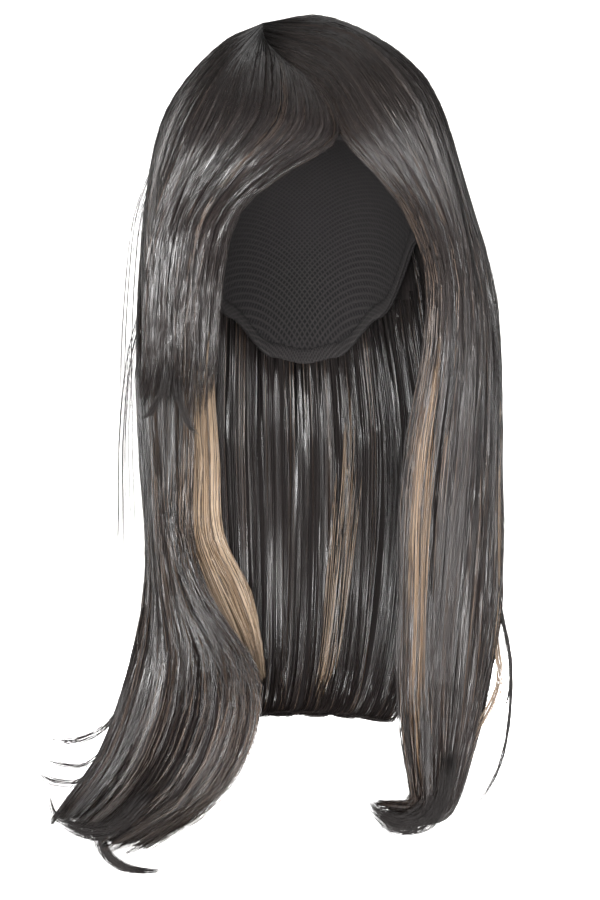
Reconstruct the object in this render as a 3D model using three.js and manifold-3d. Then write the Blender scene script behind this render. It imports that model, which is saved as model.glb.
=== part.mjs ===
// Long straight wig with a side part: a fitted cap, a swept fringe, long sides, a back length and fair streaks.
// Millimetres, +Z up. The face opening looks along -Y, and +X is the right-hand side seen from the front.
// The origin is the middle of the head at brow height, where the wig's weight hangs on its wearer.
import * as THREE from "three";
import { mergeVertices } from "three/addons/utils/BufferGeometryUtils.js";
import Module from "manifold-3d";

const wasm = await Module();
wasm.setup();

// Clearances
const GAP = 0.3; // between pieces that lie against each other
const SEAT = 1.6; // between the cap and the hair sewn over it
const STREAK_SEAT = 0.5; // between a fair streak and the hair under it
const WELD = 1e-3; // distance within which corners are one

// Head that the cap fits
const HEAD = { halfWidth: 74, halfLength: 93, crown: 100, squareness: 2.3 };
const HEAD_DROP = 90; // depth below the brow over which the head narrows
const SIDE_TAPER = 0.06;
const BACK_TAPER = 0.2;

// Cap and band
const CAP_WALL = 1.5;
const CAP_ROOM = 12; // depth kept free of hair, from the cap's outer face inward
const RIM_ROOM = 1.5; // height kept free of hair below the rim
const CAP_COLUMNS = 40;
const CAP_ROWS = 10;
const BAND_WIDTH = 9;
const BAND_WALL = 1.2;
const BAND_SEAT = 0.9; // under the cap's facets
const BAND_ROWS = 1;

// Height of the cap's rim round the head, from the forehead (0) to the nape (180)
const RIM = [
  { azimuth: 0, z: 28 },
  { azimuth: 30, z: 27 },
  { azimuth: 50, z: 14 },
  { azimuth: 66, z: -20 },
  { azimuth: 80, z: -22 },
  { azimuth: 98, z: 0 },
  { azimuth: 120, z: -14 },
  { azimuth: 145, z: -58 },
  { azimuth: 165, z: -82 },
  { azimuth: 180, z: -86 },
];

// Outer form of the hair over the head, and the part where it divides
const DOME = { halfWidth: 94, front: 104, back: 114, crown: 113 };
const PART = { x: -24, frontY: -66, rearY: 12, notch: 0.02 };
const DOME_STATIONS = [0, 0.2, 0.58]; // shares of a guide's way over the head
const NOTCH_FADE = 8; // power by which the notch fades away from the part
const SWELL = 2; // power by which a guide leaves the dome for its first hanging point
const DOME_THICK = 24;
const CROWN_RADIUS = 7;

// Relief of the locks
const LOCK_FACETS = 4; // across each lock
const LOCK_DEPTH = 2.4;
const LOCK_ROUNDNESS = 0.7;
const RELIEF = { from: 0.02, full: 0.3, most: 0.3 }; // shares of the length and of the thickness
const TIP_NOTCH = 0.022; // share of the length by which a groove is shorter than its locks
const LOCK_TURN = 2.4; // radians from one lock's length to the next one's
const EDGE_SHARE = 0.4; // of the thickness left at a body's side edges
const SLOPE_STEP = 0.004;
const ROOT_GAPS = 3; // gaps by which a body's roots stand back from the part

// Shares of the part, from its front end to the crown, where bodies of hair meet
const FRINGE_ROOTS = 0.42;
const SWEEP_ROOTS = 0.5;

// Lines over the temples that the fringe and the sweep share with the sides behind them
const LEFT_TEMPLE = [[-46, 70], [-62, 38]];
const RIGHT_TEMPLE = [[26, 92], [60, 57]];

// In the tables below a point with two numbers, x and z, lies on the front of the dome, and a point
// with three lies free. The tables trace the outer face; thickness goes inward to the head's axis, or to the
// core given for a row, and for a core without a height it stays level.

// Left side: front edge, outermost line and rear edge at each height
const LEFT = [
  { at: "brow", front: [-77, 4], side: [-95, 10, 0], rear: [-69, 77, 0], thick: 24 },
  { at: "ear", front: [-76, -36, -50], side: [-98, 12, -45], rear: [-70, 78, -48], thick: 18 },
  { at: "jaw", front: [-70, -26, -95], side: [-100, 14, -92], rear: [-70, 78, -95], thick: 14 },
  { at: "neck", front: [-69, -20, -142], side: [-98, 16, -139], rear: [-69, 77, -142], thick: 14 },
  { at: "waist", front: [-70, -14, -188], side: [-95, 18, -188], rear: [-67, 73, -190], thick: 15 },
  { at: "spread", front: [-57, -8, -226], side: [-96, 20, -230], rear: [-69, 66, -232], thick: 16 },
  { at: "flare", front: [-26, -2, -270], side: [-105, 22, -270], rear: [-84, 57, -272], thick: 17 },
  { at: "turn", front: [-34, 2, -318], side: [-124, 24, -322], rear: [-100, 56, -318], thick: 15 },
  { at: "curl", front: [-64, 6, -358], side: [-143, 24, -348], rear: [-122, 52, -346], thick: 10 },
  { at: "tip", front: [-110, 10, -379], side: [-153, 22, -362], rear: [-140, 42, -357], thick: 3 },
];
const LEFT_CORES = {
  waist: [-30, 30],
  spread: [-40, 45],
  flare: [-55, 60],
  turn: [-75, 65],
  curl: [-100, 65],
  tip: [-125, 60],
};

// Right side, with the same columns
const RIGHT = [
  { at: "brow", front: [81, 5], side: [99, 14, 0], rear: [69, 77, 0], thick: 24 },
  { at: "ear", front: [93, -36, -38], side: [111, 16, -42], rear: [78, 79, -45], thick: 18 },
  { at: "jaw", front: [97, -22, -86], side: [117, 18, -88], rear: [83, 79, -92], thick: 14 },
  { at: "neck", front: [95, -14, -140], side: [117, 20, -140], rear: [85, 77, -142], thick: 14 },
  { at: "chest", front: [91, -9, -186], side: [118, 22, -188], rear: [83, 74, -190], thick: 14 },
  { at: "elbow", front: [87, -5, -232], side: [117, 24, -234], rear: [80, 69, -236], thick: 15 },
  { at: "flare", front: [84, -2, -280], side: [110, 26, -282], rear: [86, 60, -284], thick: 15 },
  { at: "turn", front: [82, 0, -316], side: [99, 24, -320], rear: [78, 54, -320], thick: 14 },
  { at: "curl", front: [75, 2, -349], side: [83, 20, -358], rear: [64, 46, -354], thick: 10 },
  { at: "tip", front: [43, 4, -352], side: [42, 14, -357], rear: [38, 34, -353], thick: 3 },
];
const RIGHT_CORES = {
  chest: [20, 30],
  elbow: [40, 32],
  flare: [55, 32],
  turn: [60, 30, -305],
  curl: [58, 26, -318],
  tip: [46, 20, -330],
};

// Back length: an elliptic wall at each height, its hem turned under
const BACK_REACH = 46; // degrees to each side of straight back
const BACK = [
  { at: "brow", z: 0, halfWidth: 96, depth: 113, shift: 0, thick: 24 },
  { at: "nape", z: -60, halfWidth: 104, depth: 115, shift: 4, thick: 24 },
  { at: "neck", z: -130, halfWidth: 107, depth: 113, shift: 8, thick: 15 },
  { at: "chest", z: -200, halfWidth: 101, depth: 109, shift: 8, thick: 14 },
  { at: "roll", z: -278, halfWidth: 88, depth: 103, shift: 4, thick: 12 },
  { at: "hem", z: -306, halfWidth: 80, depth: 91, shift: -2, thick: 9 },
  { at: "under", z: -304, halfWidth: 74, depth: 78, shift: -8, thick: 3 },
];
const BACK_CORES = {
  roll: [0, 0, -270],
  hem: [0, 40, -262],
  under: [0, 60, -262],
};

// Fringe over the forehead, then hanging by the left cheek: face edge, middle and outer edge
const FRINGE = [
  { at: "crest", inner: [9, 53], middle: [-22, 72], outer: LEFT_TEMPLE[0], thick: 20 },
  { at: "hairline", inner: [17, 28], middle: [-26, 40], outer: LEFT_TEMPLE[1], thick: 14 },
  { at: "forehead", inner: [-10, 9], middle: [-48, 10], outer: [-77, 4], thick: 9 },
  { at: "brow", inner: [-36, -12], middle: [-65, -18], outer: [-86, -48, -28], thick: 8 },
  { at: "cheek", inner: [-47, -77, -47], middle: [-71, -64, -56], outer: [-89, -44, -66], thick: 8 },
  { at: "jaw", inner: [-51, -66, -84], middle: [-74, -56, -92], outer: [-91, -40, -98], thick: 7 },
  { at: "tip", inner: [-54, -60, -126], middle: [-77, -52, -128], outer: [-95, -38, -119], thick: 2 },
];

// Sweep over the right temple and down the front of the right side, with the same columns
const SWEEP = [
  { at: "crest", inner: [10, 53], middle: [18, 79], outer: RIGHT_TEMPLE[0], thick: 20 },
  { at: "hairline", inner: [21, 28], middle: [43, 43], outer: RIGHT_TEMPLE[1], thick: 14 },
  { at: "temple", inner: [49, -2], middle: [67, 3], outer: [81, 5], thick: 9 },
  { at: "cheek", inner: [68, -61, -36], middle: [82, -54, -35], outer: [92, -42, -34], thick: 9 },
  { at: "jaw", inner: [68, -45, -83], middle: [84, -39, -84], outer: [96, -28, -84], thick: 10 },
  { at: "neck", inner: [59, -36, -140], middle: [78, -31, -140], outer: [94, -20, -140], thick: 11 },
  { at: "chest", inner: [56, -30, -186], middle: [74, -25, -186], outer: [90, -15, -186], thick: 12 },
  { at: "elbow", inner: [56, -24, -231], middle: [72, -20, -232], outer: [86, -11, -232], thick: 12 },
  { at: "flare", inner: [55, -19, -277], middle: [70, -16, -278], outer: [83, -8, -279], thick: 12 },
  { at: "turn", inner: [58, -15, -312], middle: [71, -13, -314], outer: [81, -6, -315], thick: 11 },
  { at: "curl", inner: [61, -11, -341], middle: [68, -10, -347], outer: [74, -4, -350], thick: 8 },
  { at: "tip", inner: [39, -6, -342], middle: [40, -4, -347], outer: [43, 0, -351], thick: 2.5 },
];
const SWEEP_CORES = {
  cheek: [20, 10],
  jaw: [30, 30],
  neck: [30, 40],
  chest: [40, 50],
  elbow: [45, 50],
  flare: [50, 50],
  turn: [55, 50],
  curl: [58, 50],
  tip: [48, 50],
};

// Fair inner lock that hangs from the rim behind the left ear and drifts towards the nape
const LEFT_LOCK = [
  { at: "rim", outer: [-71, 37, -18], inner: [-59, 55, -44], thick: 7 },
  { at: "jaw", outer: [-74, 32, -95], inner: [-57, 52, -95], thick: 7 },
  { at: "neck", outer: [-72, 28, -142], inner: [-54, 48, -142], thick: 7 },
  { at: "waist", outer: [-72, 28, -188], inner: [-52, 48, -188], thick: 7 },
  { at: "spread", outer: [-60, 30, -220], inner: [-36, 50, -222], thick: 7 },
  { at: "flare", outer: [-42, 34, -252], inner: [-28, 52, -254], thick: 6 },
  { at: "tip", outer: [-30, 40, -284], inner: [-24, 50, -286], thick: 3 },
];

// Fair streaks: where each lies across its carrier, and over which stretch of the carrier's length
const STREAKS = {
  highlight_right: { on: "sweep", face: "outer", top: 0.12, foot: 0.2, half: 0.17, from: 0.42, to: 0.84 },
  highlight_right_edge: { on: "right_hair", face: "outer", top: 0.4, foot: 0.42, half: 0.03, from: 0.4, to: 0.8 },
  highlight_back: { on: "back_hair", face: "inner", top: 0.66, foot: 0.56, half: 0.04, from: 0.52, to: 0.86 },
};
const STREAK_THICK = 2.2;
const STREAK_COLUMNS = 3;
const STREAK_ROWS = 11;
const STREAK_POINT = 0.03; // share of the taper left off at each end

// Finishes
const CAP_CLOTH = { color: 0x1d1b1c, roughness: 0.9, metalness: 0 };
const DARK_HAIR = { color: 0x2b2525, roughness: 0.45, metalness: 0 };
const FAIR_HAIR = { color: 0xa87b52, roughness: 0.45, metalness: 0 };

const { clamp, degToRad, lerp, smoothstep } = THREE.MathUtils;

// Height of the rim at an azimuth, eased between the rows of its table
function rimHeight(azimuth) {
  const turned = Math.abs(THREE.MathUtils.euclideanModulo(azimuth + 180, 360) - 180);
  const next = Math.max(1, RIM.findIndex((row) => row.azimuth >= turned));
  const before = RIM[next - 1];
  const after = RIM[next];
  return lerp(before.z, after.z, smoothstep(turned, before.azimuth, after.azimuth));
}

// Horizontal half-size of the head's ring at an azimuth
function headRing(azimuth, offset) {
  const across = Math.sin(azimuth) / (HEAD.halfWidth + offset);
  const along = Math.cos(azimuth) / (HEAD.halfLength + offset);
  return 1 / Math.hypot(across, along);
}

// Narrowing of the head below the brow, as a share of its ring
function headTaper(azimuth, z) {
  const along = Math.cos(azimuth) ** 2;
  return 1 - lerp(SIDE_TAPER, BACK_TAPER, along) * (z / HEAD_DROP) ** 2;
}

// Point of the head, grown by an offset: elevation 90 is the crown, and below the brow it counts millimetres
function headPoint(azimuthDegrees, elevation, offset) {
  const azimuth = degToRad(azimuthDegrees);
  const power = 2 / HEAD.squareness;
  const lift = Math.max(0, Math.sin(degToRad(elevation)));
  const spread = Math.max(0, Math.cos(degToRad(elevation)));
  const above = elevation > 0;
  const z = above ? (HEAD.crown + offset) * lift ** power : elevation;
  const share = above ? spread ** power : headTaper(azimuth, z);
  const radius = headRing(azimuth, offset) * share;
  return new THREE.Vector3(radius * Math.sin(azimuth), -radius * Math.cos(azimuth), z);
}

// Elevation at which the head has a given height
function elevationAt(z, offset) {
  if (z <= 0) {
    return z;
  }
  const lift = clamp(z / (HEAD.crown + offset), 0, 1) ** (HEAD.squareness / 2);
  return THREE.MathUtils.radToDeg(Math.asin(lift));
}

// Moves a point of the hair's inner face out of the cap
function clearOfCap(point) {
  const offset = CAP_WALL + SEAT;
  const azimuth = Math.atan2(point.x, -point.y);
  if (point.z < rimHeight(THREE.MathUtils.radToDeg(azimuth)) - SEAT) {
    return point;
  }
  const reach = Math.hypot(point.x, point.y) / headRing(azimuth, offset);
  if (point.z > 0) {
    const height = point.z / (HEAD.crown + offset);
    const depth = (reach ** HEAD.squareness + height ** HEAD.squareness) ** (1 / HEAD.squareness);
    return depth < 1 ? point.divideScalar(depth) : point;
  }
  const push = Math.max(1, headTaper(azimuth, point.z) / reach);
  point.x *= push;
  point.y *= push;
  return point;
}

// Closed body between two grids of points that face each other; a wrapping grid closes round its columns
function closedShell(outer, inner, wraps) {
  const rows = outer.length - 1;
  const columns = outer[0].length - 1;
  const corners = [];
  const quad = (a, b, c, d) => corners.push(a, b, c, a, c, d);
  for (let j = 0; j < rows; j += 1) {
    for (let i = 0; i < columns; i += 1) {
      quad(outer[j][i], outer[j + 1][i], outer[j + 1][i + 1], outer[j][i + 1]);
      quad(inner[j][i], inner[j][i + 1], inner[j + 1][i + 1], inner[j + 1][i]);
    }
  }
  for (let i = 0; i < columns; i += 1) {
    quad(outer[0][i], outer[0][i + 1], inner[0][i + 1], inner[0][i]);
    quad(outer[rows][i], inner[rows][i], inner[rows][i + 1], outer[rows][i + 1]);
  }
  for (let j = 0; j < rows && !wraps; j += 1) {
    quad(outer[j][0], inner[j][0], inner[j + 1][0], outer[j + 1][0]);
    quad(outer[j][columns], outer[j + 1][columns], inner[j + 1][columns], inner[j][columns]);
  }
  return bodyOf(corners);
}

// Indexed geometry of triangle corners, with its faces turned outward.
// Welding can collapse a sliver or lay two triangles back to back, and those are dropped.
function bodyOf(corners) {
  const merged = mergeVertices(new THREE.BufferGeometry().setFromPoints(corners), WELD);
  const place = merged.getAttribute("position");
  const index = merged.index.array;
  const kept = new Map();
  for (let t = 0; t < index.length; t += 3) {
    const triangle = [index[t], index[t + 1], index[t + 2]];
    const key = triangle.toSorted((a, b) => a - b).join();
    if (kept.has(key)) {
      kept.delete(key);
    } else if (new Set(triangle).size === 3) {
      kept.set(key, triangle);
    }
  }
  const triangles = [...kept.values()];
  const corner = (k) => new THREE.Vector3().fromBufferAttribute(place, k);
  const volume = triangles.reduce((sum, [a, b, c]) => sum + corner(a).dot(corner(b).cross(corner(c))), 0);
  const turned = volume > 0 ? triangles : triangles.map(([a, b, c]) => [a, c, b]);
  merged.setIndex(turned.flat());
  return merged;
}

function toSolid(geometry) {
  const vertProperties = new Float32Array(geometry.getAttribute("position").array);
  const triVerts = new Uint32Array(geometry.index.array);
  return new wasm.Manifold(new wasm.Mesh({ numProp: 3, vertProperties, triVerts }));
}

// Geometry of a solid's largest body
function fromSolid(solid) {
  const bodies = solid.decompose();
  const largest = bodies.reduce((best, body) => (body.volume() > best.volume() ? body : best));
  const mesh = largest.getMesh();
  const corners = Array.from(mesh.triVerts, (k) => new THREE.Vector3().fromArray(mesh.vertProperties, 3 * k));
  return bodyOf(corners);
}

function named(name, geometry, finish) {
  geometry.computeVertexNormals();
  const mesh = new THREE.Mesh(geometry, new THREE.MeshStandardMaterial(finish));
  mesh.name = name;
  return mesh;
}

// Wall that follows the head from one elevation to another, all the way round
function headWall(rows, elevations, outerOffset, wall) {
  const grid = (offset) => Array.from({ length: rows + 1 }, (_, j) =>
    Array.from({ length: CAP_COLUMNS + 1 }, (_unused, i) => {
      const azimuth = (360 * (i % CAP_COLUMNS)) / CAP_COLUMNS;
      const { top, foot } = elevations(azimuth);
      return headPoint(azimuth, lerp(top, foot, j / rows), offset);
    }));
  return closedShell(grid(outerOffset), grid(outerOffset - wall), true);
}

function makeCap() {
  const span = (azimuth) => ({ top: 90, foot: elevationAt(rimHeight(azimuth), CAP_WALL) });
  return named("cap", headWall(CAP_ROWS, span, CAP_WALL, CAP_WALL), CAP_CLOTH);
}

// Room that the hair leaves for the cap and its band
function makeCapRoom() {
  const span = (azimuth) => ({ top: 90, foot: elevationAt(rimHeight(azimuth) - RIM_ROOM, CAP_WALL) });
  return toSolid(headWall(CAP_ROWS, span, CAP_WALL + GAP, CAP_ROOM));
}

function makeEdgeBand() {
  const span = (azimuth) => {
    const rim = rimHeight(azimuth);
    return { top: elevationAt(rim + BAND_WIDTH, 0), foot: elevationAt(rim, 0) };
  };
  return named("edge_band", headWall(BAND_ROWS, span, -BAND_SEAT, BAND_WALL), CAP_CLOTH);
}

// Half-sizes of the hair's dome, which reaches further behind than in front
function domeScale(y) {
  return new THREE.Vector3(DOME.halfWidth, y < 0 ? DOME.front : DOME.back, DOME.crown);
}

function frontOfDome(x, z) {
  const rest = 1 - (x / DOME.halfWidth) ** 2 - (z / DOME.crown) ** 2;
  return new THREE.Vector3(x, -DOME.front * Math.sqrt(rest), z);
}

// Point of the part, from its front end (0) to the crown (1), sunk into a shallow notch
function partPoint(share) {
  const y = lerp(PART.frontY, PART.rearY, share);
  const scale = domeScale(y);
  const rest = 1 - (PART.x / scale.x) ** 2 - (y / scale.y) ** 2;
  return new THREE.Vector3(PART.x, y, scale.z * Math.sqrt(rest)).multiplyScalar(1 - PART.notch);
}

// Point of the small ring at the crown from which the back hair fans out
function crownPoint(degrees) {
  const angle = degToRad(degrees);
  const point = partPoint(1);
  point.x += CROWN_RADIUS * Math.sin(angle);
  point.y += CROWN_RADIUS * Math.cos(angle);
  return point;
}

// Stations of a guide over the dome, from its root to just short of where it leaves the head
function overDome(root, end) {
  const start = root.clone().divide(domeScale(root.y));
  const finish = end.clone().divide(domeScale(end.y));
  const angle = start.angleTo(finish);
  return DOME_STATIONS.map((t) => {
    const a = Math.sin((1 - t) * angle) / Math.sin(angle);
    const b = Math.sin(t * angle) / Math.sin(angle);
    const between = start.clone().setLength(a).add(finish.clone().setLength(b));
    const notch = (start.length() - 1) * (1 - t) ** NOTCH_FADE;
    const swell = (finish.length() - 1) * t ** SWELL;
    between.setLength(1 + notch + swell);
    return between.multiply(domeScale(between.y));
  });
}

function tablePoint(values) {
  return values.length === 2 ? frontOfDome(...values) : new THREE.Vector3(...values);
}

// Guide from its root down one column of a table, over the dome the short way or by the stations given
function hangingGuide(root, table, column, stations) {
  const hanging = table.map((row) => tablePoint(row[column]));
  const over = stations ? [root, ...stations.map(tablePoint)] : overDome(root, hanging[0]);
  return [...over, ...hanging];
}

function backGuide(degrees) {
  const angle = degToRad(degrees);
  const hanging = BACK.map((row) => new THREE.Vector3(
    row.shift + row.halfWidth * Math.sin(angle),
    row.depth * Math.cos(angle),
    row.z,
  ));
  return [...overDome(crownPoint(degrees), hanging[0]), ...hanging];
}

// Value of a list of stations at a share of its length
function along(stations, share) {
  const place = clamp(share, 0, 1) * (stations.length - 1);
  const before = Math.min(Math.floor(place), stations.length - 2);
  return lerp(stations[before], stations[before + 1], place - before);
}

// Point that a station's thickness aims at: above the brow the middle of the head
function corePoint(core, height) {
  const [x, y, z] = core ?? [0, 0];
  return new THREE.Vector3(x, y, z ?? Math.min(height, 0));
}

// A body of hair: guides side by side make its outer face, and its thickness goes inward
class HairSheet {
  constructor({ guides, table, cores = {}, locks, rows, lengths }) {
    const overHead = guides[0].length - table.length;
    const stations = guides[0].map((_, k) => table[k - overHead] ?? { at: "dome", thick: DOME_THICK });
    const height = (k) => guides.reduce((sum, guide) => sum + guide[k].z, 0) / guides.length;
    this.curves = guides.map((points) => new THREE.CatmullRomCurve3(points));
    this.spacing = this.curves[Math.floor(guides.length / 2)];
    this.thick = stations.map((row) => row.thick);
    this.cores = stations.map((row, k) => corePoint(cores[row.at], height(k)));
    this.locks = locks;
    this.rows = rows;
    this.lengths = lengths;
  }

  face(u, v) {
    const row = this.curves.map((curve) => curve.getPoint(clamp(v, 0, 1)));
    return new THREE.CatmullRomCurve3(row).getPoint(clamp(u, 0, 1));
  }

  inward(u, v) {
    const core = ["x", "y", "z"].map((axis) => along(this.cores.map((point) => point[axis]), v));
    return new THREE.Vector3(...core).sub(this.face(u, v)).normalize();
  }

  // Thickness, which thins towards both side edges
  depth(u, v) {
    const fullness = Math.sqrt(Math.max(0, Math.sin(Math.PI * u)));
    return along(this.thick, v) * lerp(EDGE_SHARE, 1, fullness);
  }

  // Roundness of a lock: 0 in the groove between two locks, 1 on the middle of one
  crest(u) {
    return Math.abs(Math.sin(Math.PI * this.locks * u));
  }

  // Share of the full length at which the hair ends: locks differ and come to points
  endAt(u) {
    const lock = Math.min(Math.floor(u * this.locks), this.locks - 1);
    const short = this.lengths * (0.5 - 0.5 * Math.cos(LOCK_TURN * lock));
    return 1 - short - TIP_NOTCH * (1 - this.crest(u));
  }

  outerPoint(u, v, offset) {
    const groove = LOCK_DEPTH * (1 - this.crest(u) ** LOCK_ROUNDNESS) * smoothstep(v, RELIEF.from, RELIEF.full);
    const sunk = Math.min(groove, RELIEF.most * this.depth(u, v));
    return this.face(u, v).addScaledVector(this.inward(u, v), sunk - offset);
  }

  innerPoint(u, v, offset) {
    return this.face(u, v).addScaledVector(this.inward(u, v), this.depth(u, v) + offset);
  }

  // Moves a point on the body's edge along the face: outward from the body, or into it for a negative distance
  edged(point, u, v, distance) {
    const step = SLOPE_STEP;
    const side = u === 0 ? -1 : Number(u === 1);
    const end = v === 0 ? -ROOT_GAPS : 0;
    const across = this.face(u + step, v).sub(this.face(u - step, v)).normalize();
    const down = this.face(u, v + step).sub(this.face(u, v - step)).normalize();
    return point.addScaledVector(across, side * distance).addScaledVector(down, end * distance);
  }

  // Closed body between an outer and an inner face, with its edges moved out by a distance
  shell(outerAt, innerAt, distance) {
    const columns = this.locks * LOCK_FACETS;
    const grid = (pointAt) => Array.from({ length: this.rows + 1 }, (_, j) =>
      Array.from({ length: columns + 1 }, (_unused, i) => {
        const u = i / columns;
        const v = this.spacing.getUtoTmapping(j / this.rows) * this.endAt(u);
        return this.edged(pointAt(u, v), u, v, distance);
      }));
    return toSolid(closedShell(grid(outerAt), grid(innerAt), false));
  }

  body() {
    const inner = (u, v) => clearOfCap(this.innerPoint(u, v, 0));
    return this.shell((u, v) => this.outerPoint(u, v, 0), inner, -GAP);
  }

  // Room that neighbours leave for the body
  room() {
    return this.shell((u, v) => this.outerPoint(u, v, GAP), (u, v) => this.innerPoint(u, v, GAP), 0);
  }
}

function makeSheets() {
  return {
    back_hair: new HairSheet({
      guides: [-1, -0.5, 0, 0.5, 1].map((share) => backGuide(share * BACK_REACH)),
      table: BACK,
      cores: BACK_CORES,
      locks: 6,
      rows: 15,
      lengths: 0.03,
    }),
    left_hair: new HairSheet({
      guides: [
        hangingGuide(partPoint(FRINGE_ROOTS), LEFT, "front", LEFT_TEMPLE),
        hangingGuide(partPoint((1 + FRINGE_ROOTS) / 2), LEFT, "side"),
        hangingGuide(partPoint(1), LEFT, "rear"),
      ],
      table: LEFT,
      cores: LEFT_CORES,
      locks: 5,
      rows: 19,
      lengths: 0.02,
    }),
    right_hair: new HairSheet({
      guides: [
        hangingGuide(partPoint(SWEEP_ROOTS), RIGHT, "front", RIGHT_TEMPLE),
        hangingGuide(partPoint((1 + SWEEP_ROOTS) / 2), RIGHT, "side"),
        hangingGuide(partPoint(1), RIGHT, "rear"),
      ],
      table: RIGHT,
      cores: RIGHT_CORES,
      locks: 5,
      rows: 19,
      lengths: 0.02,
    }),
    sweep: new HairSheet({
      guides: [
        hangingGuide(partPoint(0), SWEEP, "inner", []),
        hangingGuide(partPoint(SWEEP_ROOTS / 2), SWEEP, "middle", []),
        hangingGuide(partPoint(SWEEP_ROOTS), SWEEP, "outer", []),
      ],
      table: SWEEP,
      cores: SWEEP_CORES,
      locks: 3,
      rows: 19,
      lengths: 0.02,
    }),
    fringe: new HairSheet({
      guides: [
        hangingGuide(partPoint(0), FRINGE, "inner", []),
        hangingGuide(partPoint(FRINGE_ROOTS / 2), FRINGE, "middle", []),
        hangingGuide(partPoint(FRINGE_ROOTS), FRINGE, "outer", []),
      ],
      table: FRINGE,
      locks: 4,
      rows: 14,
      lengths: 0.05,
    }),
    highlight_left: new HairSheet({
      guides: ["outer", "inner"].map((column) => LEFT_LOCK.map((row) => tablePoint(row[column]))),
      table: LEFT_LOCK,
      locks: 2,
      rows: 12,
      lengths: 0.04,
    }),
  };
}

// Fair streak lying on one face of a body of hair, pointed at both ends
function makeStreak(sheet, row) {
  const outside = row.face === "outer";
  const place = (i, j) => {
    const t = j / STREAK_ROWS;
    const taper = Math.sqrt(Math.sin(Math.PI * lerp(STREAK_POINT, 1 - STREAK_POINT, t)));
    const u = lerp(row.top, row.foot, t) + row.half * taper * ((2 * i) / STREAK_COLUMNS - 1);
    return { u, v: lerp(row.from, row.to, t) };
  };
  const grid = (offset) => Array.from({ length: STREAK_ROWS + 1 }, (_, j) =>
    Array.from({ length: STREAK_COLUMNS + 1 }, (_unused, i) => {
      const { u, v } = place(i, j);
      return outside ? sheet.outerPoint(u, v, offset) : sheet.innerPoint(u, v, offset);
    }));
  const near = grid(STREAK_SEAT);
  const far = grid(STREAK_SEAT + STREAK_THICK);
  return closedShell(outside ? far : near, outside ? near : far, false);
}

function makeHair() {
  const sheets = makeSheets();
  const taken = [makeCapRoom()];
  const meshes = [];
  for (const [name, sheet] of Object.entries(sheets)) {
    const clear = taken.reduce((solid, neighbour) => solid.subtract(neighbour), sheet.body());
    taken.push(sheet.room());
    meshes.push(named(name, fromSolid(clear), name.startsWith("highlight") ? FAIR_HAIR : DARK_HAIR));
  }
  for (const [name, row] of Object.entries(STREAKS)) {
    const whole = toSolid(makeStreak(sheets[row.on], row));
    const clear = taken.reduce((solid, neighbour) => solid.subtract(neighbour), whole);
    meshes.push(named(name, fromSolid(clear), FAIR_HAIR));
  }
  return meshes;
}

const wig = new THREE.Group();
wig.name = "straight_wig";
wig.add(makeCap(), makeEdgeBand(), ...makeHair());

export default wig;
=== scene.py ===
"""Looks of a long straight wig: strands over soft beds, fair streaks, a net cap and its band."""
import math
from collections import namedtuple

import bpy
import numpy as np
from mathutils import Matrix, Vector


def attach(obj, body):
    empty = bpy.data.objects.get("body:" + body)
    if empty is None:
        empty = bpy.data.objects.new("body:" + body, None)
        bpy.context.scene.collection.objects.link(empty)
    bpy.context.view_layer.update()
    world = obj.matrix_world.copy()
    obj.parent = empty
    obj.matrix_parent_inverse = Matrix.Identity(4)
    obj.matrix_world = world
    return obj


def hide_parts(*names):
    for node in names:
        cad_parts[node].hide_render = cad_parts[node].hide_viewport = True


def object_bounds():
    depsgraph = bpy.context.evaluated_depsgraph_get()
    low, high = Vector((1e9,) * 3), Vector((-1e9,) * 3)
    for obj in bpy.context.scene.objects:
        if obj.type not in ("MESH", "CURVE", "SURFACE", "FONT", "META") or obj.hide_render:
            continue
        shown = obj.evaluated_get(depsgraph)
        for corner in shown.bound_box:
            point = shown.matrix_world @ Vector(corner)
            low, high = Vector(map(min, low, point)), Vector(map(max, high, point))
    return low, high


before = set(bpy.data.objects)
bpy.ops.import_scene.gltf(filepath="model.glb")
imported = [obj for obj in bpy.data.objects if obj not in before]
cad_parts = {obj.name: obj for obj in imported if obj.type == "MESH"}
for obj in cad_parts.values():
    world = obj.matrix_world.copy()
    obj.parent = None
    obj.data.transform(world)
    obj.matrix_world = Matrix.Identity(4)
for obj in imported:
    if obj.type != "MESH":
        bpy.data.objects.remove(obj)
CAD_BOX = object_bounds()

MM = 0.001
BODY = "root"

# Camera, fitted to the photograph: millimetres, and a frame 600 by 900
FRAME_HEIGHT_PX = 900
MM_PER_PX = 0.58  # in the plane of the cap's middle
CAMERA_DISTANCE = 1150
CAMERA_X = -2.9
CAMERA_Z = -139.2
SENSOR = 36

# Inner form of the cap in millimetres, which tapers below the brow
HEAD = {"half_width": 74, "half_length": 93, "crown": 100, "squareness": 2.3}
HEAD_DROP = 90
SIDE_TAPER = 0.06
BACK_TAPER = 0.2
CAP_WALL = 1.5
CAP_TOP = 89.5  # degrees of elevation at which the cap's wall begins
SEAT = 1.6  # of hair on the cap
CAP_COLUMNS = 120
CAP_ROWS = 24
BAND_WIDTH = 9
BAND_WALL = 1.2
BAND_SEAT = 0.9
BAND_ROWS = 4

# Height of the cap's rim by degrees from the front (0) to the nape (180)
RIM_AZIMUTH = (0, 30, 50, 66, 80, 98, 120, 145, 165, 180)
RIM_Z = (28, 27, 14, -20, -22, 0, -14, -58, -82, -86)

# Outer form of the hair over the cap, and the part where it divides
DOME = {"half_width": 94, "front": 104, "back": 114, "crown": 113}
PART = {"x": -24, "front_y": -66, "rear_y": 12, "notch": 0.02}
DOME_STATIONS = (0, 0.2, 0.58)  # shares of a guide's way over the cap
NOTCH_FADE = 8  # power by which the notch fades away from the part
SWELL = 2  # power by which a guide leaves the dome for its first hanging point
DOME_THICK = 24
CROWN_RADIUS = 7
FRINGE_ROOTS = 0.42
SWEEP_ROOTS = 0.5

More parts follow.
